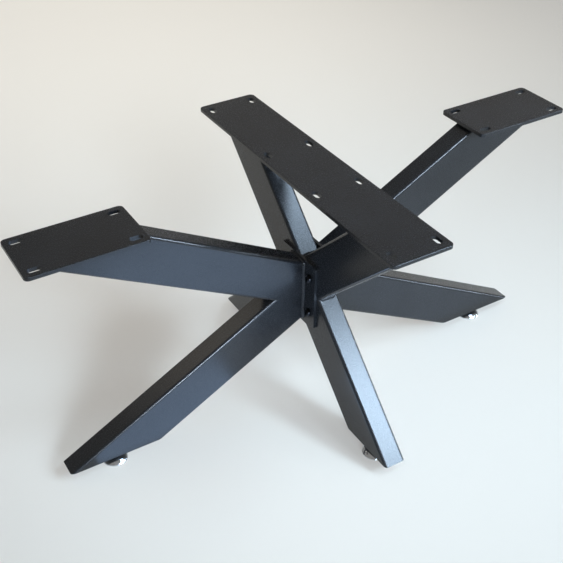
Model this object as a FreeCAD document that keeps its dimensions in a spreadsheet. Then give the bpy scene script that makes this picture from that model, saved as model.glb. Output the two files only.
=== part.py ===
"""Four star table base: a front-to-back X of steel tube with a V of tube bolted to each side.

The X stands in the YZ plane and carries the long centre plate. The two V frames stand in the XZ plane, are
bolted to the X through flanges at the hub, and carry the end plates. +X is along the side arms, +Y to the
back, +Z up. The origin is on the floor under the hub. All lengths are in millimetres, all angles in degrees.
"""
import FreeCAD
import Part
import Sketcher
import math
import os

SIZES = (
    ("overall_length", 1000.0, "over the outer edges of the two end plates"),
    ("top_height", 453.0, "floor to the upper faces of the top plates"),
    ("hub_height", 229.0, "floor to the point where the tube centre lines cross"),
    ("cut_height", 20.0, "floor to the level cut at the bottom of each leg"),
    ("side_angle", 28.2, "rise of the V frame's arms and legs"),
    ("cross_angle", 44.0, "rise of the X frame's arms and legs"),
    ("tube_depth", 80.0, "tube section, in the plane of its frame"),
    ("tube_width", 40.0, "tube section, across its frame"),
    ("tube_wall", 2.0, "tube wall thickness"),
    ("tube_corner", 5.0, "outer corner radius of the tube section"),
    ("plate_thickness", 6.0, "top plates"),
    ("plate_corner", 8.0, "corner radius of the top plates"),
    ("plate_edge", 0.8, "rounding of the upper edge of the top plates"),
    ("centre_plate_length", 580.0, "centre plate, along Y"),
    ("centre_plate_width", 110.0, "centre plate, along X"),
    ("end_plate_length", 191.0, "end plates, along X"),
    ("end_plate_width", 110.0, "end plates, along Y"),
    ("slot_width", 10.5, "screw slots in the top plates"),
    ("slot_length", 21.0, "screw slots in the top plates, end to end"),
    ("slot_edge_inset", 15.0, "long edge of a top plate to the middle of its slots"),
    ("centre_slot_end_inset", 23.5, "end of the centre plate to the middle of its outer slots"),
    ("centre_slot_inner", 146.0, "inner pairs of the centre plate slots, along Y"),
    ("end_slot_end_inset", 19.0, "end of an end plate to the middle of its slots"),
    ("flange_height", 131.0, "hub flange, along Z"),
    ("flange_width", 108.0, "hub flange, along Y"),
    ("flange_thickness", 5.0, "hub flange"),
    ("flange_corner", 10.0, "corner radius of the hub flange"),
    ("bolt_gauge", 74.0, "flange bolts, along Y"),
    ("bolt_shank", 8.0, "flange bolt thread diameter"),
    ("bolt_length", 16.0, "flange bolt, under the head"),
    ("bolt_head", 14.0, "flange bolt head diameter"),
    ("bolt_head_height", 4.4, "flange bolt head"),
    ("bolt_head_lip", 0.8, "upright edge of the flange bolt head"),
    ("bolt_head_crown", 9.0, "flat top of the flange bolt head, diameter"),
    ("bolt_socket", 5.0, "hexagon socket across flats"),
    ("bolt_socket_depth", 2.6, "hexagon socket"),
    ("bolt_clearance", 9.0, "holes for the bolts in flange and washer"),
    ("washer_diameter", 16.0, "flange washers"),
    ("washer_thickness", 1.6, "flange washers"),
    ("sleeve_diameter", 14.0, "threaded sleeves through the hub"),
    ("fit_gap", 0.1, "gap all round where one piece is let into another"),
    ("foot_plate_thickness", 4.0, "plate in the end of each leg"),
    ("nut_flats", 13.0, "weld nut across flats"),
    ("nut_height", 6.5, "weld nut"),
    ("stud_diameter", 8.0, "levelling foot thread"),
    ("stud_running_gap", 0.05, "gap round the stud in its nut"),
    ("stud_top", 41.0, "floor to the upper end of the stud"),
    ("stud_seat", 2.0, "floor to the lower end of the stud"),
    ("collar_flats", 14.0, "hexagon collar of the stud"),
    ("collar_height", 4.5, "hexagon collar of the stud"),
    ("foot_diameter", 44.0, "levelling foot disc"),
    ("foot_height", 9.5, "levelling foot disc, floor to collar"),
    ("foot_rim", 2.2, "upright rim of the levelling foot disc"),
    ("foot_crown", 15.0, "flat crown of the levelling foot disc, diameter"),
)
SIDES = (("left", -1), ("right", 1))
ENDS = (("front", -1), ("back", 1))
QUARTERS = [(a, b) for a in (-1, 1) for b in (-1, 1)]

doc = FreeCAD.newDocument("four_star_table_base")
sheet = doc.addObject("Spreadsheet::Sheet", "sizes")
for row, (alias, value, note) in enumerate(SIZES, start=1):
    sheet.set(f"A{row}", alias)
    sheet.set(f"B{row}", str(value))
    sheet.setAlias(f"B{row}", alias)
    sheet.set(f"C{row}", note)
doc.recompute()

X_AXIS = FreeCAD.Vector(1, 0, 0)
Y_AXIS = FreeCAD.Vector(0, 1, 0)
pieces = []


def size(alias):
    """The value of one cell of the sheet."""
    return float(sheet.get(alias))


def bind(thing, **expressions):
    """Bind properties of an object to the sheet; a double underscore stands for a dot."""
    for path, text in expressions.items():
        thing.setExpression(path.replace("__", "."), text)


def place(thing, x="0", y="0", z="0"):
    """Bind an object's position to the sheet."""
    bind(thing, Placement__Base__x=x, Placement__Base__y=y, Placement__Base__z=z)


def keep(thing, label):
    """Name a finished piece and put it on the list of pieces."""
    thing.Label = label
    pieces.append(thing)
    return thing


def new_body(name):
    """A body for one piece or one length of stock."""
    return doc.addObject("PartDesign::Body", name)


def new_sketch(body, name, plane):
    """A sketch on one of the body's own origin planes."""
    sketch = body.newObject("Sketcher::SketchObject", name)
    support = [f for f in body.Origin.OriginFeatures if f.Role == plane][0]
    sketch.AttachmentSupport = [(support, "")]
    sketch.MapMode = "FlatFace"
    return sketch


def drive(sketch, constraint, expression):
    """Add a dimension to a sketch and bind it to the sheet."""
    index = sketch.addConstraint(constraint)
    sketch.setExpression(f"Constraints[{index}]", expression)


def point(x, y):
    """A sketch point."""
    return FreeCAD.Vector(x, y, 0)


def add_arc(sketch, x, y, radius, start, sweep):
    """A circular arc in a sketch, from its start angle through its sweep, in degrees."""
    circle = Part.Circle(point(x, y), FreeCAD.Vector(0, 0, 1), radius)
    low = math.radians(start)
    return sketch.addGeometry(Part.ArcOfCircle(circle, low, low + math.radians(sweep)), False)


def rounded_rectangle(sketch, wide, tall, corner, values):
    """A rectangle about the sketch's origin with four equal round corners."""
    w, t, r = values
    x, y = w / 2 - r, t / 2 - r
    arcs = [
        add_arc(sketch, x, y, r, 0, 90),
        add_arc(sketch, -x, y, r, 90, 90),
        add_arc(sketch, -x, -y, r, 180, 90),
        add_arc(sketch, x, -y, r, 270, 90),
    ]
    ends = [
        (point(x, y + r), point(-x, y + r)),
        (point(-x - r, y), point(-x - r, -y)),
        (point(-x, -y - r), point(x, -y - r)),
        (point(x + r, -y), point(x + r, y)),
    ]
    lines = [sketch.addGeometry(Part.LineSegment(a, b), False) for a, b in ends]
    for i in range(4):
        sketch.addConstraint(Sketcher.Constraint("Tangent", arcs[i], 2, lines[i], 1))
        sketch.addConstraint(Sketcher.Constraint("Tangent", lines[i], 2, arcs[(i + 1) % 4], 1))
        sketch.addConstraint(Sketcher.Constraint("Vertical" if i % 2 else "Horizontal", lines[i]))
    for other in arcs[1:]:
        sketch.addConstraint(Sketcher.Constraint("Equal", arcs[0], other))
    sketch.addConstraint(Sketcher.Constraint("Symmetric", arcs[0], 3, arcs[2], 3, -1, 1))
    drive(sketch, Sketcher.Constraint("Radius", arcs[0], r), corner)
    across = Sketcher.Constraint("DistanceX", arcs[1], 3, arcs[0], 3, 2 * x)
    drive(sketch, across, f"{wide} - 2 * ({corner})")
    upright = Sketcher.Constraint("DistanceY", arcs[3], 3, arcs[0], 3, 2 * y)
    drive(sketch, upright, f"{tall} - 2 * ({corner})")


def slot(sketch, along_x, centre, values):
    """A round-ended slot; centre holds the two expressions of its middle, values their numbers."""
    x, y = values
    r = size("slot_width") / 2
    s = size("slot_length") / 2 - r
    dx, dy = (s, 0) if along_x else (0, s)
    turn = 0 if along_x else 90
    nx, ny = (0, r) if along_x else (-r, 0)
    first = add_arc(sketch, x + dx, y + dy, r, turn - 90, 180)
    second = add_arc(sketch, x - dx, y - dy, r, turn + 90, 180)
    near = Part.LineSegment(point(x + dx + nx, y + dy + ny), point(x - dx + nx, y - dy + ny))
    far = Part.LineSegment(point(x - dx - nx, y - dy - ny), point(x + dx - nx, y + dy - ny))
    a = sketch.addGeometry(near, False)
    b = sketch.addGeometry(far, False)
    sketch.addConstraint(Sketcher.Constraint("Tangent", first, 2, a, 1))
    sketch.addConstraint(Sketcher.Constraint("Tangent", a, 2, second, 1))
    sketch.addConstraint(Sketcher.Constraint("Tangent", second, 2, b, 1))
    sketch.addConstraint(Sketcher.Constraint("Tangent", b, 2, first, 1))
    sketch.addConstraint(Sketcher.Constraint("Equal", first, second))
    sketch.addConstraint(Sketcher.Constraint("Horizontal" if along_x else "Vertical", a))
    half = "(sizes.slot_length - sizes.slot_width) / 2"
    drive(sketch, Sketcher.Constraint("Radius", first, r), "sizes.slot_width / 2")
    far_x = f"{centre[0]} + {half}" if along_x else centre[0]
    far_y = centre[1] if along_x else f"{centre[1]} + {half}"
    drive(sketch, Sketcher.Constraint("DistanceX", -1, 1, first, 3, x + dx), far_x)
    drive(sketch, Sketcher.Constraint("DistanceY", -1, 1, first, 3, y + dy), far_y)
    kind = "DistanceX" if along_x else "DistanceY"
    drive(sketch, Sketcher.Constraint(kind, second, 3, first, 3, 2 * s), f"2 * {half}")


def add_hole(sketch, x, y, radius, x_text, y_text, radius_text):
    """A round hole in a sketch."""
    circle = sketch.addGeometry(Part.Circle(point(x, y), FreeCAD.Vector(0, 0, 1), radius), False)
    drive(sketch, Sketcher.Constraint("Radius", circle, radius), radius_text)
    if x_text is None:
        sketch.addConstraint(Sketcher.Constraint("Coincident", circle, 3, -1, 1))
        return
    drive(sketch, Sketcher.Constraint("DistanceX", -1, 1, circle, 3, x), x_text)
    drive(sketch, Sketcher.Constraint("DistanceY", -1, 1, circle, 3, y), y_text)


def hexagon(sketch, flats, text):
    """A regular hexagon about the origin, drawn inside a construction circle through its corners."""
    radius = flats / math.sqrt(3)
    circle = sketch.addGeometry(Part.Circle(point(0, 0), FreeCAD.Vector(0, 0, 1), radius), True)
    sketch.addConstraint(Sketcher.Constraint("Coincident", circle, 3, -1, 1))
    turns = [i * math.pi / 3 for i in range(6)]
    corners = [point(radius * math.cos(turn), radius * math.sin(turn)) for turn in turns]
    sides = [Part.LineSegment(corners[i], corners[(i + 1) % 6]) for i in range(6)]
    lines = [sketch.addGeometry(side, False) for side in sides]
    for i in range(6):
        sketch.addConstraint(Sketcher.Constraint("Coincident", lines[i], 2, lines[(i + 1) % 6], 1))
        sketch.addConstraint(Sketcher.Constraint("PointOnObject", lines[i], 1, circle))
    for i in range(1, 6):
        sketch.addConstraint(Sketcher.Constraint("Equal", lines[0], lines[i]))
    sketch.addConstraint(Sketcher.Constraint("PointOnObject", lines[0], 1, -1))
    drive(sketch, Sketcher.Constraint("Radius", circle, radius), f"{text} / sqrt(3)")


def pad(body, name, sketch, length, middle=False, reverse=False):
    """Pad a sketch to a length from the sheet."""
    feature = body.newObject("PartDesign::Pad", name)
    feature.Profile = sketch
    feature.SideType = "Symmetric" if middle else "One side"
    feature.Reversed = reverse
    bind(feature, Length=length)
    return feature


def outline(sketch, corners, bow, centre):
    """A closed profile; each corner is x, y and their two expressions.

    All sides are straight apart from the side after corner number bow, which is an arc about the point
    centre. Returns the sides.
    """
    ends = [point(c[0], c[1]) for c in corners]
    count = len(ends)
    sides = []
    for i in range(count):
        start, end = ends[i], ends[(i + 1) % count]
        if i == bow:
            low, high = (math.degrees(math.atan2(e.y - centre[1], e.x - centre[0])) for e in (start, end))
            sides.append(add_arc(sketch, *centre, math.dist(start[:2], centre), low, high - low))
        else:
            sides.append(sketch.addGeometry(Part.LineSegment(start, end), False))
    for i in range(count):
        sketch.addConstraint(Sketcher.Constraint("Coincident", sides[i], 2, sides[(i + 1) % count], 1))
        x, y, x_text, y_text = corners[i]
        for axis, value, text, on in (("DistanceX", x, x_text, -2), ("DistanceY", y, y_text, -1)):
            if text == "0":
                sketch.addConstraint(Sketcher.Constraint("PointOnObject", sides[i], 1, on))
            else:
                drive(sketch, Sketcher.Constraint(axis, -1, 1, sides[i], 1, value), text)
    return sides


def revolve(body, name, sketch):
    """Turn a profile once round the body's own Z axis."""
    feature = body.newObject("PartDesign::Revolution", name)
    feature.Profile = sketch
    feature.ReferenceAxis = (sketch, ["V_Axis"])
    feature.Angle = 360
    return feature


# Tube stock
# Each frame needs two straight runs through the hub, one rising and one falling. A run is made as drawn
# tube, as the solid bar that the tube's outside fills, and as the bar that fits into its bore.
STOCK = "2 * sizes.overall_length"


def stock(name, turn, angle, inset):
    """A bar of tube section through the hub, laid over about the axis turn by an angle from the upright."""
    body = new_body(name)
    sketch = new_sketch(body, f"{name}_section", "XY_Plane")
    outside = ("sizes.tube_depth", "sizes.tube_width", "sizes.tube_corner")
    bore = ("sizes.tube_depth - 2 * sizes.tube_wall", "sizes.tube_width - 2 * sizes.tube_wall",
            "sizes.tube_corner - sizes.tube_wall")
    plug = (f"{bore[0]} - 2 * sizes.fit_gap", f"{bore[1]} - 2 * sizes.fit_gap", bore[2])
    loops = {"tube": (outside, bore), "outside": (outside,), "plug": (plug,)}
    depth, width, wall, corner = (size(n) for n in ("tube_depth", "tube_width", "tube_wall", "tube_corner"))
    for loop in loops[inset]:
        thin = 0.0 if loop is outside else wall
        fit = size("fit_gap") if loop is plug else 0.0
        numbers = [depth - 2 * thin - 2 * fit, width - 2 * thin - 2 * fit]
        texts = list(loop[:2])
        if turn.x:
            numbers.reverse()
            texts.reverse()
        rounded_rectangle(sketch, *texts, loop[2], (*numbers, corner - thin))
    pad(body, f"{name}_run", sketch, STOCK, middle=True)
    body.Placement = FreeCAD.Placement(FreeCAD.Vector(), FreeCAD.Rotation(turn, 45))
    bind(body, Placement__Rotation__Angle=angle)
    place(body, z="sizes.hub_height")
    return body


SIDE_LEAN = "90 deg - sizes.side_angle * 1 deg"
CROSS_LEAN = "90 deg - sizes.cross_angle * 1 deg"
RUNS = {
    "side_rising": (Y_AXIS, SIDE_LEAN),
    "side_falling": (Y_AXIS * -1, SIDE_LEAN),
    "cross_rising": (X_AXIS * -1, CROSS_LEAN),
    "cross_falling": (X_AXIS, CROSS_LEAN),
}
tubes = {name: stock(f"{name}_tube", turn, lean, "tube") for name, (turn, lean) in RUNS.items()}
plugs = {name: stock(f"{name}_plug", turn, lean, "plug") for name, (turn, lean) in RUNS.items()}
cross_bar = stock("cross_rising_bar", *RUNS["cross_rising"], "outside")


def trim_box(name, x, y, z):
    """A block between low and high expressions along each axis."""
    box = doc.addObject("Part::Box", name)
    bind(box, Length=f"({x[1]}) - ({x[0]})", Width=f"({y[1]}) - ({y[0]})", Height=f"({z[1]}) - ({z[0]})")
    place(box, x[0], y[0], z[0])
    return box


def common(name, base, tool):
    """What two solids share."""
    feature = doc.addObject("Part::Common", name)
    feature.Base = base
    feature.Tool = tool
    return feature


def cut(name, base, tool):
    """One solid less another."""
    feature = doc.addObject("Part::Cut", name)
    feature.Base = base
    feature.Tool = tool
    return feature


def round_bar(name, axis, radius, length, x="0", y="0", z="0"):
    """A round bar from a point along X or Z."""
    bar = doc.addObject("Part::Cylinder", name)
    if axis == "x":
        bar.Placement = FreeCAD.Placement(FreeCAD.Vector(), FreeCAD.Rotation(Y_AXIS, 90))
    bind(bar, Radius=radius, Height=length)
    place(bar, x, y, z)
    return bar


def group(name, members):
    """Several separate solids kept as one piece."""
    feature = doc.addObject("Part::Compound", name)
    feature.Links = members
    return feature


REACH = "sizes.overall_length"
HALF_TUBE = "sizes.tube_width / 2"
PLATE_UNDER = "sizes.top_height - sizes.plate_thickness"
FLANGE_FACE = "(sizes.tube_width / 2 + sizes.flange_thickness)"
BOLT_RISE = "sizes.bolt_gauge / 2 * tan(sizes.cross_angle * 1 deg)"
FOOT_X = "(sizes.hub_height - sizes.cut_height) / tan(sizes.side_angle * 1 deg)"
FOOT_Y = "(sizes.hub_height - sizes.cut_height) / tan(sizes.cross_angle * 1 deg)"


def between(sign, low, high):
    """Low and high expressions on the positive or the negative side of the hub."""
    return (low, high) if sign > 0 else (f"-({high})", f"-({low})")


# X frame tubes
wide = (f"-{REACH}", REACH)
full_rise = trim_box("cross_trim", wide, wide, ("sizes.cut_height", PLATE_UNDER))
long_run = common("long_run", tubes["cross_rising"], full_rise)
front_trim = trim_box("front_upper_trim", wide, (f"-{REACH}", "0"), ("sizes.hub_height", PLATE_UNDER))
front_run = cut("front_run", common("front_half", tubes["cross_falling"], front_trim), cross_bar)
back_trim = trim_box("back_lower_trim", wide, ("0", REACH), ("sizes.cut_height", "sizes.hub_height"))
back_run = cut("back_run", common("back_half", tubes["cross_falling"], back_trim), cross_bar)

# Holes through the hub for the threaded sleeves, on the tubes' centre lines
sleeve_holes = []
sleeves = []
for index, (y, z) in enumerate(QUARTERS, start=1):
    at = {"y": f"{y} * sizes.bolt_gauge / 2", "z": f"sizes.hub_height + {z} * {BOLT_RISE}"}
    bore = round_bar(f"sleeve_hole_{index}", "x", "sizes.sleeve_diameter / 2 + sizes.fit_gap / 2",
                     "2 * sizes.tube_width", x="-sizes.tube_width", **at)
    sleeve_holes.append(bore)
    blank = round_bar(f"sleeve_blank_{index}", "x", "sizes.sleeve_diameter / 2", "sizes.tube_width",
                      x=f"-{HALF_TUBE}", **at)
    thread = round_bar(f"sleeve_thread_{index}", "x", "sizes.bolt_shank / 2 + sizes.fit_gap / 2",
                       "2 * sizes.tube_width", x="-sizes.tube_width", **at)
    sleeves.append(cut(f"sleeve_{index}", blank, thread))
hole_set = group("sleeve_holes", sleeve_holes)
keep(cut("long_tube", long_run, hole_set), "long_diagonal_tube")
keep(cut("front_arm", front_run, hole_set), "front_upper_arm_tube")
keep(cut("back_leg", back_run, hole_set), "back_lower_leg_tube")
keep(group("sleeve_group", sleeves), "hub_threaded_sleeves")

# V frame tubes, mitred to each other at hub height and cut square to the floor at the flange
for side, sign in SIDES:
    x = between(sign, FLANGE_FACE, REACH)
    upper = trim_box(f"{side}_upper_trim", x, wide, ("sizes.hub_height", PLATE_UNDER))
    lower = trim_box(f"{side}_lower_trim", x, wide, ("sizes.cut_height", "sizes.hub_height"))
    rising = "side_rising" if sign > 0 else "side_falling"
    falling = "side_falling" if sign > 0 else "side_rising"
    keep(common(f"{side}_arm", tubes[rising], upper), f"{side}_upper_arm_tube")
    keep(common(f"{side}_leg", tubes[falling], lower), f"{side}_lower_leg_tube")


def top_plate(name, length, width, slots, x):
    """A slotted plate with round corners and a softened upper edge."""
    body = new_body(name)
    sketch = new_sketch(body, f"{name}_outline", "XY_Plane")
    rounded_rectangle(
        sketch, f"sizes.{length}", f"sizes.{width}", "sizes.plate_corner",
        (size(length), size(width), size("plate_corner")),
    )
    for along_x, centre, values in slots:
        slot(sketch, along_x, centre, values)
    plate = pad(body, f"{name}_plate", sketch, "sizes.plate_thickness")
    doc.recompute()
    top = plate.Shape.BoundBox.ZMax
    faces = [f for f in plate.Shape.Faces if f.BoundBox.ZMin > top - 1e-6]
    rim = faces[0].OuterWire
    edges = []
    for number, edge in enumerate(plate.Shape.Edges, start=1):
        if any(edge.isSame(other) for other in rim.Edges):
            edges.append(f"Edge{number}")
    soft = body.newObject("PartDesign::Fillet", f"{name}_edge")
    soft.Base = (plate, edges)
    bind(soft, Radius="sizes.plate_edge")
    place(body, x=x, z=PLATE_UNDER)
    return body


# Top plates
def spread(length, inset):
    """Half the distance between two slots that lie inset from the ends of a length, as text and number."""
    return f"(sizes.{length} / 2 - sizes.{inset})", size(length) / 2 - size(inset)


centre_gauge = spread("centre_plate_width", "slot_edge_inset")
centre_outer = spread("centre_plate_length", "centre_slot_end_inset")
centre_inner = ("sizes.centre_slot_inner / 2", size("centre_slot_inner") / 2)
end_gauge = spread("end_plate_width", "slot_edge_inset")
end_pitch = spread("end_plate_length", "end_slot_end_inset")
centre_slots = []
end_slots = []
for x, y in QUARTERS:
    for along_x, across, along, slots in (
        (False, centre_gauge, centre_outer, centre_slots),
        (False, centre_gauge, centre_inner, centre_slots),
        (True, end_pitch, end_gauge, end_slots),
    ):
        texts = (f"{x} * {across[0]}", f"{y} * {along[0]}")
        slots.append((along_x, texts, (x * across[1], y * along[1])))
centre = top_plate("centre_plate", "centre_plate_width", "centre_plate_length", centre_slots, "0")
keep(centre, "centre_top_plate")
for side, sign in SIDES:
    centre_x = f"{sign} * (sizes.overall_length - sizes.end_plate_length) / 2"
    plate = top_plate(f"{side}_end_plate", "end_plate_length", "end_plate_width", end_slots, centre_x)
    keep(plate, f"{side}_top_plate")

# Hub flanges
for side, sign in SIDES:
    body = new_body(f"{side}_flange")
    sketch = new_sketch(body, f"{side}_flange_outline", "YZ_Plane")
    rounded_rectangle(
        sketch, "sizes.flange_width", "sizes.flange_height", "sizes.flange_corner",
        (size("flange_width"), size("flange_height"), size("flange_corner")),
    )
    rise = size("bolt_gauge") / 2 * math.tan(math.radians(size("cross_angle")))
    for y, z in QUARTERS:
        add_hole(
            sketch, y * size("bolt_gauge") / 2, z * rise, size("bolt_clearance") / 2,
            f"{y} * sizes.bolt_gauge / 2", f"{z} * {BOLT_RISE}", "sizes.bolt_clearance / 2",
        )
    pad(body, f"{side}_flange_plate", sketch, "sizes.flange_thickness", reverse=sign < 0)
    place(body, x=f"{sign} * {HALF_TUBE}", z="sizes.hub_height")
    keep(body, f"{side}_hub_flange")


def button_screw(name, sign, y, z):
    """A button-head screw with a hexagon socket; its head stands on the outer face of the washer."""
    body = new_body(name)
    profile = new_sketch(body, f"{name}_profile", "XZ_Plane")
    names = ("bolt_shank", "bolt_head", "bolt_head_crown")
    shank, head, crown = (size(n) / 2 for n in names)
    reach, tall, lip = (size(n) for n in ("bolt_length", "bolt_head_height", "bolt_head_lip"))
    dome_middle = (head ** 2 + lip ** 2 - crown ** 2 - tall ** 2) / 2 / (lip - tall)
    corners = [
        (0, -reach, "0", "-sizes.bolt_length"),
        (shank, -reach, "sizes.bolt_shank / 2", "-sizes.bolt_length"),
        (shank, 0, "sizes.bolt_shank / 2", "0"),
        (head, 0, "sizes.bolt_head / 2", "0"),
        (head, lip, "sizes.bolt_head / 2", "sizes.bolt_head_lip"),
        (crown, tall, "sizes.bolt_head_crown / 2", "sizes.bolt_head_height"),
        (0, tall, "0", "sizes.bolt_head_height"),
    ]
    dome = 4
    sides = outline(profile, corners, dome, (0, dome_middle))
    profile.addConstraint(Sketcher.Constraint("PointOnObject", sides[dome], 3, -2))
    revolve(body, f"{name}_turned", profile)
    key = new_sketch(body, f"{name}_key", "XY_Plane")
    hexagon(key, size("bolt_socket"), "sizes.bolt_socket")
    bind(key, AttachmentOffset__Base__z="sizes.bolt_head_height")
    socket = body.newObject("PartDesign::Pocket", f"{name}_socket")
    socket.Profile = key
    bind(socket, Length="sizes.bolt_socket_depth")
    body.Placement = FreeCAD.Placement(FreeCAD.Vector(), FreeCAD.Rotation(Y_AXIS, 90 * sign))
    place(body, f"{sign} * ({FLANGE_FACE} + sizes.washer_thickness)", f"{y} * sizes.bolt_gauge / 2",
          f"sizes.hub_height + {z} * {BOLT_RISE}")
    return body


# Flange bolts and their washers
for side, sign in SIDES:
    bolts = []
    washers = []
    for index, (y, z) in enumerate(QUARTERS, start=1):
        bolts.append(button_screw(f"{side}_bolt_{index}", sign, y, z))
        low, high = between(sign, FLANGE_FACE, f"{FLANGE_FACE} + sizes.washer_thickness")
        at = {"y": f"{y} * sizes.bolt_gauge / 2", "z": f"sizes.hub_height + {z} * {BOLT_RISE}"}
        disc = round_bar(f"{side}_disc_{index}", "x", "sizes.washer_diameter / 2",
                         "sizes.washer_thickness", x=low, **at)
        eye = round_bar(f"{side}_eye_{index}", "x", "sizes.bolt_clearance / 2", "sizes.tube_width",
                        x=f"{low} - sizes.tube_width / 2", **at)
        washers.append(cut(f"{side}_washer_{index}", disc, eye))
    keep(group(f"{side}_bolt_group", bolts), f"{side}_flange_bolts")
    keep(group(f"{side}_washer_group", washers), f"{side}_flange_washers")


def foot_set(name, run, x, y, clear):
    """The plate and nut in one leg's end, and the levelling foot that screws into them."""
    plate_top = "sizes.cut_height + sizes.foot_plate_thickness"
    slab = trim_box(f"{name}_slab", *clear, ("sizes.cut_height", plate_top))
    blank = common(f"{name}_blank", plugs[run], slab)
    eye = round_bar(f"{name}_eye", "z", "sizes.bolt_clearance / 2", "sizes.hub_height", x, y, "0")
    keep(cut(f"{name}_end", blank, eye), f"{name}_foot_plate")

    nut = new_body(f"{name}_nut")
    section = new_sketch(nut, f"{name}_nut_section", "XY_Plane")
    hexagon(section, size("nut_flats"), "sizes.nut_flats")
    bore = size("stud_diameter") / 2 + size("stud_running_gap")
    add_hole(section, 0, 0, bore, None, None, "sizes.stud_diameter / 2 + sizes.stud_running_gap")
    pad(nut, f"{name}_nut_block", section, "sizes.nut_height")
    place(nut, x, y, plate_top)
    keep(nut, f"{name}_foot_nut")

    stud = new_body(f"{name}_stud")
    thread = new_sketch(stud, f"{name}_stud_section", "XY_Plane")
    add_hole(thread, 0, 0, size("stud_diameter") / 2, None, None, "sizes.stud_diameter / 2")
    bind(thread, AttachmentOffset__Base__z="sizes.stud_seat")
    pad(stud, f"{name}_stud_rod", thread, "sizes.stud_top - sizes.stud_seat")
    collar = new_sketch(stud, f"{name}_collar_section", "XY_Plane")
    hexagon(collar, size("collar_flats"), "sizes.collar_flats")
    bind(collar, AttachmentOffset__Base__z="sizes.foot_height")
    pad(stud, f"{name}_collar", collar, "sizes.collar_height")
    place(stud, x, y)
    keep(stud, f"{name}_foot_stud")

    disc = new_body(f"{name}_disc")
    profile = new_sketch(disc, f"{name}_disc_profile", "XZ_Plane")
    radius, crown = size("foot_diameter") / 2, size("foot_crown") / 2
    rim, tall = size("foot_rim"), size("foot_height")
    hole = size("stud_diameter") / 2 + size("stud_running_gap")
    hole_text = "sizes.stud_diameter / 2 + sizes.stud_running_gap"
    dome_radius = ((radius - crown) ** 2 + (tall - rim) ** 2) / 2 / (tall - rim)
    corners = [
        (hole, 0, hole_text, "0"),
        (radius, 0, "sizes.foot_diameter / 2", "0"),
        (radius, rim, "sizes.foot_diameter / 2", "sizes.foot_rim"),
        (crown, tall, "sizes.foot_crown / 2", "sizes.foot_height"),
        (hole, tall, hole_text, "sizes.foot_height"),
    ]
    dome = 2
    sides = outline(profile, corners, dome, (crown, tall - dome_radius))
    drive(profile, Sketcher.Constraint("DistanceX", -1, 1, sides[dome], 3, crown), "sizes.foot_crown / 2")
    revolve(disc, f"{name}_disc_turned", profile)
    place(disc, x, y)
    keep(disc, f"{name}_foot_base")


# Legs' ends and levelling feet
for side, sign in SIDES:
    run = "side_falling" if sign > 0 else "side_rising"
    foot_set(side, run, f"{sign} * ({FOOT_X})", "0", (between(sign, "0", REACH), wide))
for end, sign in ENDS:
    run = "cross_falling" if sign > 0 else "cross_rising"
    foot_set(end, run, "0", f"{sign} * ({FOOT_Y})", (wide, between(sign, "0", REACH)))

doc.recompute()
for thing in doc.Objects:
    if "Invalid" in thing.State or "Error" in thing.State:
        raise RuntimeError(f"{thing.Name} failed: {thing.State}")
for piece in pieces:
    if piece.Shape.isNull() or not piece.Shape.isValid() or piece.Shape.Volume <= 0:
        raise RuntimeError(f"{piece.Label} has no valid shape")
os.makedirs("parts", exist_ok=True)
for piece in pieces:
    piece.Shape.exportStep(f"parts/{piece.Label}.step")
    box = piece.Shape.BoundBox
    spans = ((box.XMin, box.XMax), (box.YMin, box.YMax), (box.ZMin, box.ZMax))
    extent = "  ".join(f"{low:.1f} to {high:.1f}" for low, high in spans)
    print(f"{piece.Label:24s} {piece.Shape.Volume:10.0f} mm3  {len(piece.Shape.Solids)} solid  {extent}")
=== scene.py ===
"""Dresses a four star table base: powder coat, weld beads, threaded studs, zinc feet, and a studio.

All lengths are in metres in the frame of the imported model: +X along the side arms, +Y to the back, +Z up.
"""
import math

import bpy
import numpy as np
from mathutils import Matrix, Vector


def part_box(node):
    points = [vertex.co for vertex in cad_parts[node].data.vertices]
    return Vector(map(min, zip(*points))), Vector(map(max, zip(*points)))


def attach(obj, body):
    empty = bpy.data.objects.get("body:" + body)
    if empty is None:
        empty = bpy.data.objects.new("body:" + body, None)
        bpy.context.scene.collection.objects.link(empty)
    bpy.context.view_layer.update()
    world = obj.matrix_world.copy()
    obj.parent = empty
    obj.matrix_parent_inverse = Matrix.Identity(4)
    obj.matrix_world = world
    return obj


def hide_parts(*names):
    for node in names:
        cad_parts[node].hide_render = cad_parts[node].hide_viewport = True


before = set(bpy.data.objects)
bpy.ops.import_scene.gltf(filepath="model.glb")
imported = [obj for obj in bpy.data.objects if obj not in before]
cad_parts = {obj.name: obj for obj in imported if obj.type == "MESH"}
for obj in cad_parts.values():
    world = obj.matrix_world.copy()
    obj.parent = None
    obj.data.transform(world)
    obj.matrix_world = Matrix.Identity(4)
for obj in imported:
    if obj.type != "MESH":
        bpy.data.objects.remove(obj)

bl_info = {
    "name": "Four Star Table Base",
    "version": (1, 0, 0),
    "blender": (4, 5, 0),
    "location": "View3D > Sidebar > Table Base",
    "description": "Finishes, welds and threads for a tubular table base, with a studio for its photograph",
    "category": "Object",
}

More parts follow.
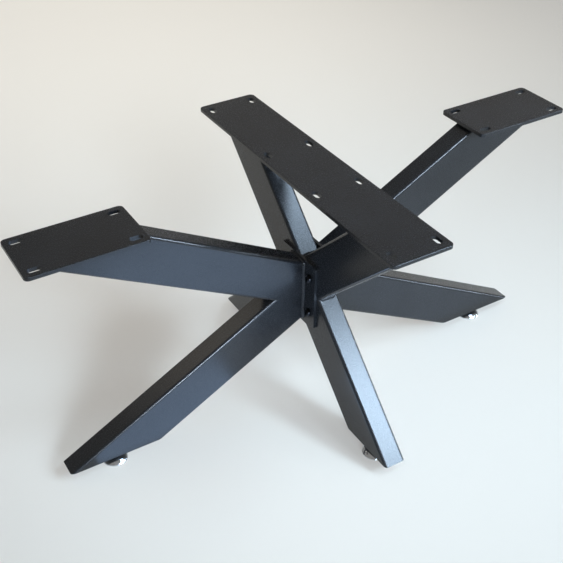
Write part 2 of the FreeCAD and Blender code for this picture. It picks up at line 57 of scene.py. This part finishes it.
SIDES = (("left", -1), ("right", 1))
LEGS = ("left", "right", "front", "back")
COATED_TUBES = (
    "long_diagonal_tube", "front_upper_arm_tube", "back_lower_leg_tube",
    "left_upper_arm_tube", "left_lower_leg_tube", "right_upper_arm_tube", "right_lower_leg_tube",
)
COATED_PLATES = (
    "centre_top_plate", "left_top_plate", "right_top_plate", "left_hub_flange", "right_hub_flange",
    "left_foot_plate", "right_foot_plate", "front_foot_plate", "back_foot_plate",
)
FRAME_BODY = "frame"
TUBE_WIDTH = float(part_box("left_upper_arm_tube")[1][1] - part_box("left_upper_arm_tube")[0][1])
FULL_TURN = 2 * math.pi
NOISE_MIDDLE = (0.3, 0.7)
BEAD_POINTS = 9
RIPPLE_POINTS = 10
STUD_POINTS = 48
THREAD_POINTS = 8
SHARP_EDGE = math.radians(35)


def hue(name, description, default):
    """A property that holds a hex sRGB colour."""
    return bpy.props.StringProperty(name=name, description=description, default=default)


def length(name, description, default):
    """A property in metres."""
    return bpy.props.FloatProperty(
        name=name, description=description, default=default, min=0, unit="LENGTH", precision=6)


def share(name, description, default):
    """A property between 0 and 1."""
    return bpy.props.FloatProperty(name=name, description=description, default=default, min=0, max=1)


def power(name, description, default):
    """A property in watts."""
    return bpy.props.FloatProperty(name=name, description=description, default=default, min=0, unit="POWER")


def beam(name, description, default):
    """A property that holds the width of a lamp's beam in degrees."""
    return bpy.props.FloatProperty(name=name, description=description, default=default, min=1, max=180)


def millimetres(name, description, default):
    """A property of the camera in millimetres."""
    return bpy.props.FloatProperty(name=name, description=description, default=default, min=1)


def vector(name, description, default):
    """A property of two or three numbers."""
    return bpy.props.FloatVectorProperty(
        name=name, description=description, default=default, size=len(default), precision=5)


class CoatSettings(bpy.types.PropertyGroup):
    """The satin black powder coat on tubes and plates."""

    dark: hue("Dark", "Darker of the two blacks that the coat drifts between", "#141517")
    light: hue("Light", "Lighter of the two blacks that the coat drifts between", "#1b1c1e")
    roughness_low: share("Roughness Low", "Roughness where the coat flowed out smoothest", 0.259)
    roughness_high: share("Roughness High", "Roughness where the coat is grainiest", 0.279)
    specular: share("Specular", "Specular level of the cured resin", 0.42)
    drift: length("Drift", "Size of the patches that drift in shade", 0.08)
    grain: length("Grain", "Size of the powder's grain", 0.0012)
    grain_height: length("Grain Height", "Height of the grain", 0.00002)
    grain_strength: share("Grain Strength", "How strongly the grain shows", 0.6)
    peel: length("Peel", "Size of the slow ripples in the coat", 0.0045)
    peel_height: length("Peel Height", "Height of the slow ripples", 0.00008)
    peel_strength: share("Peel Strength", "How strongly the slow ripples show", 0.4)


class MetalSettings(bpy.types.PropertyGroup):
    """The bare and plated metals of feet and fasteners."""

    zinc: hue("Zinc", "Colour of bright zinc plate", "#e3e6ea")
    oxide: hue("Oxide", "Colour of black oxide on the bolts", "#2a2b2e")
    steel: hue("Steel", "Colour of bare steel", "#9a9a98")
    zinc_roughness: share("Zinc Roughness", "Roughness of the zinc plate", 0.16)
    oxide_roughness: share("Oxide Roughness", "Roughness of the oxide", 0.24)
    steel_roughness: share("Steel Roughness", "Roughness of the bare steel", 0.42)


class WeldSettings(bpy.types.PropertyGroup):
    """The fillet welds under the coat, and the tube section that they run round."""

    tube_depth: length("Tube Depth", "Tube section in the plane of its frame", 0.08)
    tube_corner: length("Tube Corner", "Outer corner radius of the tube", 0.005)
    leg: length("Leg", "Leg of the fillet", 0.0042)
    bulge: length("Bulge", "How far the bead's face stands out", 0.0009)
    ripple: length("Ripple", "Height of the ripples in the bead", 0.00035)
    pitch: length("Pitch", "Distance from ripple to ripple", 0.0034)
    sink: length("Sink", "How deep the bead's root lies in the joint", 0.0006)


class ThreadSettings(bpy.types.PropertyGroup):
    """The levelling feet's M8 studs."""

    diameter: length("Diameter", "Thread diameter", 0.008)
    pitch: length("Pitch", "Thread pitch", 0.00125)
    depth: length("Depth", "Thread depth", 0.0007)
    collar: length("Collar", "Height of the collar", 0.0045)
    chamfer: length("Chamfer", "Height of the bevel on the collar's corners", 0.0007)
    cutback: length("Cutback", "How far the bevel cuts the collar's corners back", 0.00098)


class StageSettings(bpy.types.PropertyGroup):
    """Floor, lights and camera."""

    floor: hue("Floor", "Colour of the floor", "#ccc7bc")
    paper: hue("Paper", "White that the floor glows with", "#fcfcfc")
    glow: share("Glow", "Share of plain white in the floor's look", 0.3)
    sky: hue("Sky", "Colour of the light from all round", "#f3efe8")
    sky_strength: share("Sky Strength", "Light from all round", 0.3)
    key: hue("Key", "Colour of the high softboxes", "#cbe6ff")
    key_power: power("Key Power", "The softbox high in front", 37)
    top_power: power("Top Power", "The softbox high over the hub", 13)
    low: hue("Low", "Colour of the panels on the floor", "#a4ccff")
    low_power: power("Low Power", "The panel on the floor in front", 1.42)
    low_left_power: power("Low Left Power", "The panel on the floor under the left arm", 0.355)
    low_right_power: power("Low Right Power", "The panel on the floor under the right arm", 0.071)
    strip: hue("Strip", "Colour of the strip lights", "#d6e9ff")
    strip_beam: beam("Strip Beam", "Beam of the strip lights", 40)
    front_power: power("Front Power", "The strip light in front", 3.4)
    left_power: power("Left Power", "The strip light on the left", 2.89)
    right_power: power("Right Power", "The strip light on the right", 1.5)
    side_power: power("Side Power", "The low strip light on the right", 0.6)
    back: hue("Back", "Colour of the lights behind", "#fff3e0")
    back_power: power("Back Power", "The wide panel behind", 3)
    rim_power: power("Rim Power", "The lamp at the back left", 2.5)
    far_power: power("Far Power", "The lamp over the far floor", 22)
    far_beam: beam("Far Beam", "Beam of the lamp over the far floor", 75)
    lens: millimetres("Lens", "Focal length", 61.596)
    sensor: millimetres("Sensor", "Sensor width", 36)
    camera_at: vector("Camera", "Place of the camera", (-0.75222, -1.13149, 1.22015))
    camera_turn: vector("Camera Turn", "Rotation of the camera in degrees", (54.5218, 0.2792, -30.5853))
    camera_shift: vector("Camera Shift", "Lens shift of the photograph's crop", (0.02851, -0.02181))


SETTINGS = {
    "base_coat": CoatSettings,
    "base_metal": MetalSettings,
    "base_weld": WeldSettings,
    "base_thread": ThreadSettings,
    "base_stage": StageSettings,
}


def linear(text):
    """A hex sRGB colour as linear red, green, blue and alpha."""
    parts = [int(text[i:i + 2], 16) / 255 for i in (1, 3, 5)]
    return [c / 12.92 if c <= 0.04045 else ((c + 0.055) / 1.055) ** 2.4 for c in parts] + [1.0]


def new_material(name):
    """An empty node material with its shader; returns the material, its tree and the shader."""
    material = bpy.data.materials.new(name)
    material.use_nodes = True
    return material, material.node_tree, material.node_tree.nodes["Principled BSDF"]


def add(tree, kind, links=(), **values):
    """Adds a node; links gives its inputs other nodes' outputs or numbers, values sets its properties."""
    node = tree.nodes.new(kind)
    for key, value in values.items():
        setattr(node, key, value)
    for socket, source in dict(links).items():
        if hasattr(source, "node"):
            tree.links.new(source, node.inputs[socket])
        else:
            node.inputs[socket].default_value = source
    return node


def noise(tree, place, size, detail, roughness=0.5):
    """Noise whose features are about size metres across; returns its factor."""
    links = {"Vector": place, "Scale": 1 / size, "Detail": detail, "Roughness": roughness}
    return add(tree, "ShaderNodeTexNoise", links).outputs["Fac"]


def spread(tree, factor, low, high):
    """Stretches the middle of a noise factor over the range low to high."""
    start, end = NOISE_MIDDLE
    links = {"Value": factor, "From Min": start, "From Max": end, "To Min": low, "To Max": high}
    return add(tree, "ShaderNodeMapRange", links).outputs["Result"]


def two_tone(tree, factor, dark, light):
    """A colour that drifts between two linear colours."""
    node = add(tree, "ShaderNodeMix", {"Factor": factor}, data_type="RGBA")
    node.inputs["A"].default_value = dark
    node.inputs["B"].default_value = light
    return node.outputs["Result"]


def powder_coat(settings):
    """Satin black polyester powder coat, cured from a fine dust.

    The eye sees a fine grain in the gloss over slow ripples where the powder flowed together, and a slight
    drift in shade over a hand's breadth. The real grain is a few tenths of a millimetre; it is drawn coarser.
    """
    material, tree, shader = new_material("satin_black_powder_coat")
    place = add(tree, "ShaderNodeTexCoord").outputs["Object"]
    drift = noise(tree, place, settings.drift, detail=3)
    grain = noise(tree, place, settings.grain, detail=3, roughness=0.6)
    peel = noise(tree, place, settings.peel, detail=2)
    shade = two_tone(tree, spread(tree, drift, 0, 1), linear(settings.dark), linear(settings.light))
    tree.links.new(shade, shader.inputs["Base Color"])
    rough = spread(tree, grain, settings.roughness_low, settings.roughness_high)
    tree.links.new(rough, shader.inputs["Roughness"])
    shader.inputs["Specular IOR Level"].default_value = settings.specular
    slow = add(tree, "ShaderNodeBump", {
        "Height": peel, "Strength": settings.peel_strength, "Distance": settings.peel_height})
    fine = add(tree, "ShaderNodeBump", {
        "Height": grain, "Strength": settings.grain_strength, "Distance": settings.grain_height,
        "Normal": slow.outputs["Normal"]})
    tree.links.new(fine.outputs["Normal"], shader.inputs["Normal"])
    return material


def worked_metal(name, colour, roughness, mottle, drift, tone):
    """Bare or plated metal, mottled on the scale of its grain, with faint handling marks.

    mottle is the size of the patches, drift how far their roughness strays, tone how dark the darkest are.
    """
    marks_per_patch, mark_strength, mark_height = 9, 0.2, 0.00003
    material, tree, shader = new_material(name)
    place = add(tree, "ShaderNodeTexCoord").outputs["Object"]
    patches = noise(tree, place, mottle, detail=4, roughness=0.6)
    marks = noise(tree, place, mottle / marks_per_patch, detail=2)
    shader.inputs["Metallic"].default_value = 1.0
    bright = linear(colour)
    dull = [c * tone for c in bright[:3]] + [1.0]
    tree.links.new(two_tone(tree, spread(tree, patches, 0, 1), dull, bright), shader.inputs["Base Color"])
    tree.links.new(spread(tree, patches, roughness - drift, roughness + drift), shader.inputs["Roughness"])
    bump = add(tree, "ShaderNodeBump", {"Height": marks, "Strength": mark_strength, "Distance": mark_height})
    tree.links.new(bump.outputs["Normal"], shader.inputs["Normal"])
    return material


def bright_zinc(settings):
    """Bright zinc plate on pressed and turned steel: a mirror slightly blurred, with a faint spangle."""
    return worked_metal(
        "bright_zinc_plate", settings.zinc, settings.zinc_roughness, mottle=0.004, drift=0.05, tone=0.86)


def black_oxide(settings):
    """Black oxide on cold-headed screws and washers: dark, a little oily, glossier on the crowns."""
    return worked_metal(
        "black_oxide_screws", settings.oxide, settings.oxide_roughness, mottle=0.003, drift=0.08, tone=0.7)


def bare_steel(settings):
    """Bare turned steel of the sleeves and nuts that are welded inside the tubes."""
    return worked_metal(
        "bare_turned_steel", settings.steel, settings.steel_roughness, mottle=0.005, drift=0.1, tone=0.75)


def dress(names, material):
    """Gives CAD nodes a material."""
    for name in names:
        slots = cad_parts[name].data.materials
        slots.clear()
        slots.append(material)


def mesh_object(name, points, faces, material, body):
    """A new smooth-shaded piece from vertices and faces, riding on a body."""
    mesh = bpy.data.meshes.new(name)
    mesh.from_pydata(points.tolist(), [], faces)
    mesh.polygons.foreach_set("use_smooth", [True] * len(mesh.polygons))
    mesh.materials.append(material)
    mesh.update()
    piece = bpy.data.objects.new(name, mesh)
    bpy.context.scene.collection.objects.link(piece)
    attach(piece, body)
    return piece


def grid_faces(rows, columns, closed):
    """Quads of a grid whose columns close on themselves, and whose rows do too if closed.

    An open grid gets a face over its first row and one over its last.
    """
    r = np.arange(rows if closed else rows - 1)[:, None]
    c = np.arange(columns)[None, :]
    r2, c2 = (r + 1) % rows, (c + 1) % columns
    quads = np.stack([r * columns + c, r * columns + c2, r2 * columns + c2, r2 * columns + c], axis=-1)
    faces = quads.reshape(-1, 4).tolist()
    if not closed:
        faces.append(list(range(columns))[::-1])
        faces.append(list(range((rows - 1) * columns, rows * columns)))
    return faces


def rounded_outline(wide, tall, radius, step):
    """Distance, points and outward normals round a rectangle with round corners, about step apart.

    Side k of four starts on a straight run with the normal at k quarter turns, and ends with the corner's
    arc, where the normal turns by distance / radius: P = corner + radius * normal - what is left of the run
    along it.
    """
    x, y = wide / 2 - radius, tall / 2 - radius
    corners = np.array(((x, y), (-x, y), (-x, -y), (x, -y)))
    runs = np.array((2 * y, 2 * x, 2 * y, 2 * x))
    lengths = runs + radius * math.pi / 2
    starts = np.cumsum(lengths) - lengths
    count = int(lengths.sum() / step)
    s = np.arange(count) * lengths.sum() / count
    side = np.searchsorted(starts, s, side="right") - 1
    past = s - starts[side] - runs[side]
    turn = side * math.pi / 2 + np.maximum(past, 0) / radius
    normals = np.stack([np.cos(turn), np.sin(turn)], axis=1)
    along = np.stack([-np.sin(turn), np.cos(turn)], axis=1)
    points = corners[side] + radius * normals + np.minimum(past, 0)[:, None] * along
    return s, points, normals


def bead(settings, s, root, first, second):
    """Points of a rippled fillet weld.

    The bead follows root(s) between two surfaces that leave it along first(s) and second(s). Across the bead,
    u runs from 0 to 1, and P = root + leg ((1 - u) first + u second) + sin(pi u) (bulge + ripple wave) out,
    where wave = cos(2 pi s / pitch + bow (2 u - 1)^2) and out points away from the joint. One more point in
    the joint closes the section, which runs the way round that turns its faces outwards.
    """
    bow = 3.0
    u = np.linspace(0, 1, BEAD_POINTS)
    out = first + second
    out = out / np.linalg.norm(out, axis=1, keepdims=True)
    face = (1 - u)[None, :, None] * first[:, None] + u[None, :, None] * second[:, None]
    wave = np.cos(FULL_TURN * s[:, None] / settings.pitch + bow * (2 * u - 1)[None] ** 2)
    lift = np.sin(np.pi * u)[None] * (settings.bulge + settings.ripple * wave)
    rows = root[:, None] + settings.leg * face + lift[..., None] * out[:, None]
    inside = (root - settings.sink * out)[:, None]
    section = np.concatenate([rows, inside], axis=1)
    handed = np.sum(np.cross(first, second) * np.gradient(root, axis=0))
    return section if handed > 0 else section[:, ::-1]


def weld_object(name, beads, material):
    """One piece from several beads, each given as its points and whether it closes on itself."""
    points, faces, start = [], [], 0
    for rows, closed in beads:
        points.append(rows.reshape(-1, 3))
        faces += [[start + corner for corner in face] for face in grid_faces(*rows.shape[:2], closed)]
        start += len(points[-1])
    return mesh_object(name, np.concatenate(points), faces, material, FRAME_BODY)


def repeat(direction, count):
    """One direction as count equal rows."""
    return np.repeat(np.array([direction], dtype=float), count, axis=0)


def straight_bead(settings, start, end, first, second):
    """A bead from start to end that shrinks to its root at both ends as the root of the distance."""
    thinnest = 0.02
    run = np.linalg.norm(end - start)
    t = np.linspace(0, 1, int(run / settings.pitch * RIPPLE_POINTS))
    root = start + t[:, None] * (end - start)
    rows = bead(settings, t * run, root, repeat(first, len(t)), repeat(second, len(t)))
    taper = np.sqrt(np.clip(np.minimum(t, 1 - t) * run / settings.leg, thinnest, 1))
    return root[:, None] + (rows - root[:, None]) * taper[:, None, None]


def hub_height():
    """The height of the hub, from the flange that is centred on it."""
    low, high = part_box("left_hub_flange")
    return float(low[2] + high[2]) / 2


def rise_angle(foot, axis):
    """The rise of a leg, whose centre line runs from the hub down to the level cut over its foot's middle."""
    low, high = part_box(f"{foot}_foot_base")
    cut = float(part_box(f"{foot}_foot_plate")[0][2])
    return math.atan2(hub_height() - cut, abs(float(low[axis] + high[axis])) / 2)


def plate_bead(settings, plate, tube, direction):
    """The bead between a top plate's underside and its tube; direction runs down the tube."""
    low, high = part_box(tube)
    across = 1 if abs(direction[0]) > abs(direction[1]) else 0
    along = 1 - across
    reach = settings.tube_depth / abs(direction[2])
    outer = low[along] if direction[along] > 0 else high[along]
    centre = outer + math.copysign(reach / 2, direction[along])
    s, flat, out = rounded_outline(reach, TUBE_WIDTH, settings.tube_corner, settings.pitch / RIPPLE_POINTS)
    root = np.zeros((len(s), 3))
    first = np.zeros((len(s), 3))
    root[:, along] = centre + flat[:, 0]
    root[:, across] = flat[:, 1]
    root[:, 2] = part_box(plate)[0][2]
    first[:, along] = out[:, 0]
    first[:, across] = out[:, 1]
    tangent = np.cross(first, [0, 0, 1])
    second = direction[None] - (tangent @ direction)[:, None] * tangent
    second /= np.linalg.norm(second, axis=1, keepdims=True)
    return bead(settings, s, root, first, second)


def flange_bead(settings, side, sign, rise):
    """The bead round the two mitred tubes of a V frame on the outer face of its hub flange."""
    low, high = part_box(f"{side}_hub_flange")
    face = float(high[0] if sign > 0 else low[0])
    tall = settings.tube_depth / math.cos(rise) + 2 * abs(face) * math.tan(rise)
    s, flat, out = rounded_outline(TUBE_WIDTH, tall, settings.tube_corner, settings.pitch / RIPPLE_POINTS)
    root = np.stack([np.full(len(s), face), flat[:, 0], hub_height() + flat[:, 1]], axis=1)
    first = np.stack([np.zeros(len(s)), out[:, 0], out[:, 1]], axis=1)
    return bead(settings, s, root, first, repeat((sign, 0, 0), len(s)))


def crossing_beads(settings, rise):
    """The beads across the four inner corners of the X, over the flat of the tubes.

    With the two tubes' normals n and m in the plane of the X, a corner p lies where n . p = m . p = half the
    tube's depth.
    """
    half = settings.tube_depth / 2
    flat = TUBE_WIDTH / 2 - settings.tube_corner
    cosine, sine = math.cos(rise), math.sin(rise)
    beads = []
    for up in (1, -1):
        for back in (1, -1):
            normals = np.array(((-up * sine, up * cosine), (back * sine, back * cosine)))
            y, z = np.linalg.solve(normals, (half, half))
            start = np.array((-flat, y, hub_height() + z))
            end = np.array((flat, y, hub_height() + z))
            along_short = np.array((0, -up * cosine, up * sine))
            along_long = np.array((0, back * cosine, back * sine))
            beads.append(straight_bead(settings, start, end, along_short, along_long))
    return beads


def stud_surface(settings, leg):
    """Vertices and faces of a stud turned about its axis.

    Along the thread r = R - depth |2 frac(z / pitch - a / 2 pi) - 1|, a triangle wave that climbs one pitch a
    turn. Round the collar r is the hexagon's radius flats / 2 / cos(a - nearest sixth), and its corners are
    cut back at both ends.
    """
    low, high = (np.array(corner, dtype=float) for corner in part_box(f"{leg}_foot_stud"))
    base = float(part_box(f"{leg}_foot_base")[1][2])
    flats = min(high[:2] - low[:2])
    radius = settings.diameter / 2
    shoulder = base + settings.collar
    a = np.linspace(0, FULL_TURN, STUD_POINTS, endpoint=False)
    hexagon = flats / 2 / np.cos((a + np.pi / 6) % (np.pi / 3) - np.pi / 6)
    bevelled = np.minimum(hexagon, flats / math.sqrt(3) - settings.cutback)
    plain = np.full(len(a), radius)
    thread_z = np.arange(shoulder, high[2] - settings.pitch, settings.pitch / THREAD_POINTS)
    lead = (thread_z[:, None] - shoulder) / settings.pitch - a / FULL_TURN
    thread = radius - settings.depth * np.abs(2 * (lead - np.floor(lead)) - 1)
    collar_z = (base, base, base + settings.chamfer, shoulder - settings.chamfer, shoulder)
    r = np.vstack([plain, plain, bevelled, hexagon, hexagon, bevelled, thread, plain - settings.depth])
    z = np.concatenate([[low[2]], collar_z, thread_z, [high[2]]])[:, None] + np.zeros(len(a))
    middle = (low + high) / 2
    points = np.stack([middle[0] + r * np.cos(a), middle[1] + r * np.sin(a), z], axis=-1)
    return points.reshape(-1, 3), grid_faces(*r.shape, closed=False)


def make_floor(settings):
    """A plain pale paper floor with a faint tooth.

    Part of its look is plain white, to the camera and in reflections alike. The rest takes light and shadow.
    """
    tooth, reach = 0.002, 30.0
    material, tree, shader = new_material("pale_paper_floor")
    place = add(tree, "ShaderNodeTexCoord").outputs["Object"]
    shader.inputs["Base Color"].default_value = linear(settings.floor)
    shader.inputs["Specular IOR Level"].default_value = 0.1
    dull = spread(tree, noise(tree, place, tooth, detail=2), low=0.8, high=0.95)
    tree.links.new(dull, shader.inputs["Roughness"])
    ray = add(tree, "ShaderNodeLightPath").outputs
    mirrored = add(tree, "ShaderNodeMath", {
        0: ray["Is Glossy Ray"], 1: ray["Is Transmission Ray"]}, operation="ADD")
    seen = add(tree, "ShaderNodeMath", {
        0: ray["Is Camera Ray"], 1: mirrored.outputs[0]}, operation="ADD")
    glow = add(tree, "ShaderNodeMath", {
        0: seen.outputs[0], 1: settings.glow}, operation="MULTIPLY", use_clamp=True)
    white = add(tree, "ShaderNodeEmission", {"Strength": 1.0})
    white.inputs["Color"].default_value = linear(settings.paper)
    mix = add(tree, "ShaderNodeMixShader", {
        0: glow.outputs[0], 1: shader.outputs[0], 2: white.outputs[0]})
    tree.links.new(mix.outputs[0], tree.nodes["Material Output"].inputs["Surface"])
    corners = [(-reach, -reach, 0), (reach, -reach, 0), (reach, reach, 0), (-reach, reach, 0)]
    mesh = bpy.data.meshes.new("studio_floor")
    mesh.from_pydata(corners, [], [(0, 1, 2, 3)])
    mesh.materials.append(material)
    floor = bpy.data.objects.new("studio_floor", mesh)
    bpy.context.scene.collection.objects.link(floor)


def softbox(name, at, target, size, colour, watts, spread_angle=180):
    """A rectangular soft light that faces a target, with its beam in degrees; the camera doesn't see it."""
    light = bpy.data.lights.new(name, "AREA")
    light.shape = "RECTANGLE"
    light.size, light.size_y = size
    light.spread = math.radians(spread_angle)
    light.color = linear(colour)[:3]
    light.energy = watts
    lamp = bpy.data.objects.new(name, light)
    lamp.location = at
    lamp.rotation_euler = (Vector(target) - Vector(at)).to_track_quat("-Z", "Y").to_euler()
    lamp.visible_camera = False
    bpy.context.scene.collection.objects.link(lamp)


def floor_panel(name, x, y, size, colour, watts):
    """A panel that lies just over the floor and shines straight up."""
    lift = 0.004
    softbox(name, (x, y, lift), (x, y, 1.0), size, colour, watts)


def make_sky(settings):
    """A dim, even light from all round."""
    world = bpy.data.worlds.new("studio_sky")
    world.use_nodes = True
    sky = world.node_tree.nodes["Background"]
    sky.inputs["Color"].default_value = linear(settings.sky)
    sky.inputs["Strength"].default_value = settings.sky_strength
    bpy.context.scene.world = world


def make_lamps(settings):
    """The studio's lamps.

    Two cool softboxes high in front brighten the upper faces of the front leg and the back arm. Panels on the
    floor give the wide faces their blue. Narrow strip lights draw the thin line along the tubes' corners. Two
    lamps behind lift the top plates, and one lights the far floor alone.
    """
    key, low, back = settings.key, settings.low, settings.back
    strip, narrow = settings.strip, settings.strip_beam
    softbox("key_softbox", (0.92, -1.53, 1.26), (0.0, -0.15, 0.12), (0.36, 0.6), key, settings.key_power)
    softbox("top_softbox", (0.7, -0.62, 1.6), (0.0, 0.1, 0.35), (0.4, 0.4), key, settings.top_power)
    floor_panel("low_panel", -0.06, -0.5, (0.46, 0.4), low, settings.low_power)
    floor_panel("low_strip", -0.27, -0.12, (0.3, 0.17), low, settings.low_left_power)
    floor_panel("low_right_panel", 0.38, -0.15, (0.34, 0.2), low, settings.low_right_power)
    for name, at, target, size, watts in (
            ("front_strip", (0.62, -2.08, 1.3), (0.28, 0.0, 0.38), (0.8, 0.4), settings.front_power),
            ("left_strip", (-0.5, -1.95, 0.66), (-0.22, 0.0, 0.16), (0.6, 0.35), settings.left_power),
            ("right_strip", (1.4, -1.15, 1.1), (-0.2, 0.0, 0.4), (0.4, 0.4), settings.right_power),
            ("low_right_strip", (2.1, -0.8, 0.34), (0.3, 0.0, 0.14), (0.5, 0.2), settings.side_power)):
        softbox(name, at, target, size, strip, watts, narrow)
    softbox("back_panel", (1.7, 2.4, 2.2), (0.2, 0.0, 0.4), (3.0, 2.2), back, settings.back_power)
    softbox("back_left_lamp", (-1.15, 2.0, 2.0), (-0.2, 0.0, 0.15), (0.7, 0.7), back, settings.rim_power)
    far = settings.far_power, settings.far_beam
    softbox("far_floor_lamp", (0.5, 2.6, 1.7), (0.4, 2.6, 0.0), (3.8, 2.2), settings.sky, *far)


def make_camera(settings):
    """The camera at the photograph's place."""
    data = bpy.data.cameras.new("photo_camera")
    data.sensor_width = settings.sensor
    data.lens = settings.lens
    data.shift_x, data.shift_y = settings.camera_shift
    data.clip_start = 0.01
    camera = bpy.data.objects.new("photo_camera", data)
    camera.location = settings.camera_at
    camera.rotation_euler = [math.radians(v) for v in settings.camera_turn]
    bpy.context.scene.collection.objects.link(camera)
    bpy.context.scene.camera = camera


class BASE_OT_coat(bpy.types.Operator):
    """Powder coat on tubes, plates and flanges"""

    bl_idname = "table_base.coat"
    bl_label = "Coat Tubes and Plates"

    def execute(self, context):
        dress(COATED_TUBES + COATED_PLATES, powder_coat(context.scene.base_coat))
        return {"FINISHED"}


class BASE_OT_metals(bpy.types.Operator):
    """Black oxide on the bolts, zinc on the feet, bare steel inside"""

    bl_idname = "table_base.metals"
    bl_label = "Finish Fasteners and Feet"

    def execute(self, context):
        metal = context.scene.base_metal
        bolts = [f"{side}_flange_{kind}" for side, _ in SIDES for kind in ("bolts", "washers")]
        dress(bolts, black_oxide(metal))
        dress(["hub_threaded_sleeves"] + [f"{leg}_foot_nut" for leg in LEGS], bare_steel(metal))
        dress([f"{leg}_foot_{piece}" for leg in LEGS for piece in ("base", "stud")], bright_zinc(metal))
        return {"FINISHED"}


class BASE_OT_studs(bpy.types.Operator):
    """Threaded studs with hexagon collars for the levelling feet"""

    bl_idname = "table_base.studs"
    bl_label = "Thread the Studs"

    def execute(self, context):
        zinc = bpy.data.materials["bright_zinc_plate"]
        for leg in LEGS:
            points, faces = stud_surface(context.scene.base_thread, leg)
            piece = mesh_object(f"{leg}_threaded_stud", points, faces, zinc, f"{leg}_foot")
            piece.data.set_sharp_from_angle(angle=SHARP_EDGE)
            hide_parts(f"{leg}_foot_stud")
        return {"FINISHED"}


class BASE_OT_welds(bpy.types.Operator):
    """Fillet welds at the hub flanges, the top plates and the crossing of the X"""

    bl_idname = "table_base.welds"
    bl_label = "Weld the Frames"

    def execute(self, context):
        settings = context.scene.base_weld
        coat = bpy.data.materials["satin_black_powder_coat"]
        side_rise, cross_rise = rise_angle("left", 0), rise_angle("front", 1)
        for side, sign in SIDES:
            down = np.array((-sign * math.cos(side_rise), 0, -math.sin(side_rise)))
            hub = flange_bead(settings, side, sign, side_rise)
            top = plate_bead(settings, f"{side}_top_plate", f"{side}_upper_arm_tube", down)
            weld_object(f"{side}_v_frame_welds", [(hub, True), (top, True)], coat)
        beads = []
        for tube, sign in (("long_diagonal_tube", 1), ("front_upper_arm_tube", -1)):
            down = np.array((0, -sign * math.cos(cross_rise), -math.sin(cross_rise)))
            beads.append((plate_bead(settings, "centre_top_plate", tube, down), True))
        beads += [(rows, False) for rows in crossing_beads(settings, cross_rise)]
        weld_object("x_frame_welds", beads, coat)
        return {"FINISHED"}


class BASE_OT_stage(bpy.types.Operator):
    """Floor, lights and the camera of the photograph"""

    bl_idname = "table_base.stage"
    bl_label = "Set the Stage"

    def execute(self, context):
        settings = context.scene.base_stage
        make_floor(settings)
        make_sky(settings)
        make_lamps(settings)
        make_camera(settings)
        context.scene.view_settings.view_transform = "Standard"
        return {"FINISHED"}


OPERATORS = (BASE_OT_coat, BASE_OT_metals, BASE_OT_studs, BASE_OT_welds, BASE_OT_stage)


class BASE_PT_panel(bpy.types.Panel):
    """Buttons for each step of dressing the base"""

    bl_idname = "BASE_PT_panel"
    bl_label = "Table Base"
    bl_space_type = "VIEW_3D"
    bl_region_type = "UI"
    bl_category = "Table Base"

    def draw(self, context):
        for operator in OPERATORS:
            self.layout.operator(operator.bl_idname)


def register():
    for group in SETTINGS.values():
        bpy.utils.register_class(group)
    for name, group in SETTINGS.items():
        setattr(bpy.types.Scene, name, bpy.props.PointerProperty(type=group))
    for operator in OPERATORS:
        bpy.utils.register_class(operator)
    bpy.utils.register_class(BASE_PT_panel)


def unregister():
    bpy.utils.unregister_class(BASE_PT_panel)
    for operator in reversed(OPERATORS):
        bpy.utils.unregister_class(operator)
    for name in SETTINGS:
        delattr(bpy.types.Scene, name)
    for group in reversed(tuple(SETTINGS.values())):
        bpy.utils.unregister_class(group)


def main():
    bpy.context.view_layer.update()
    register()
    bpy.ops.table_base.coat()
    bpy.ops.table_base.metals()
    bpy.ops.table_base.studs()
    bpy.ops.table_base.welds()
    bpy.ops.table_base.stage()


if __name__ == "__main__":
    main()
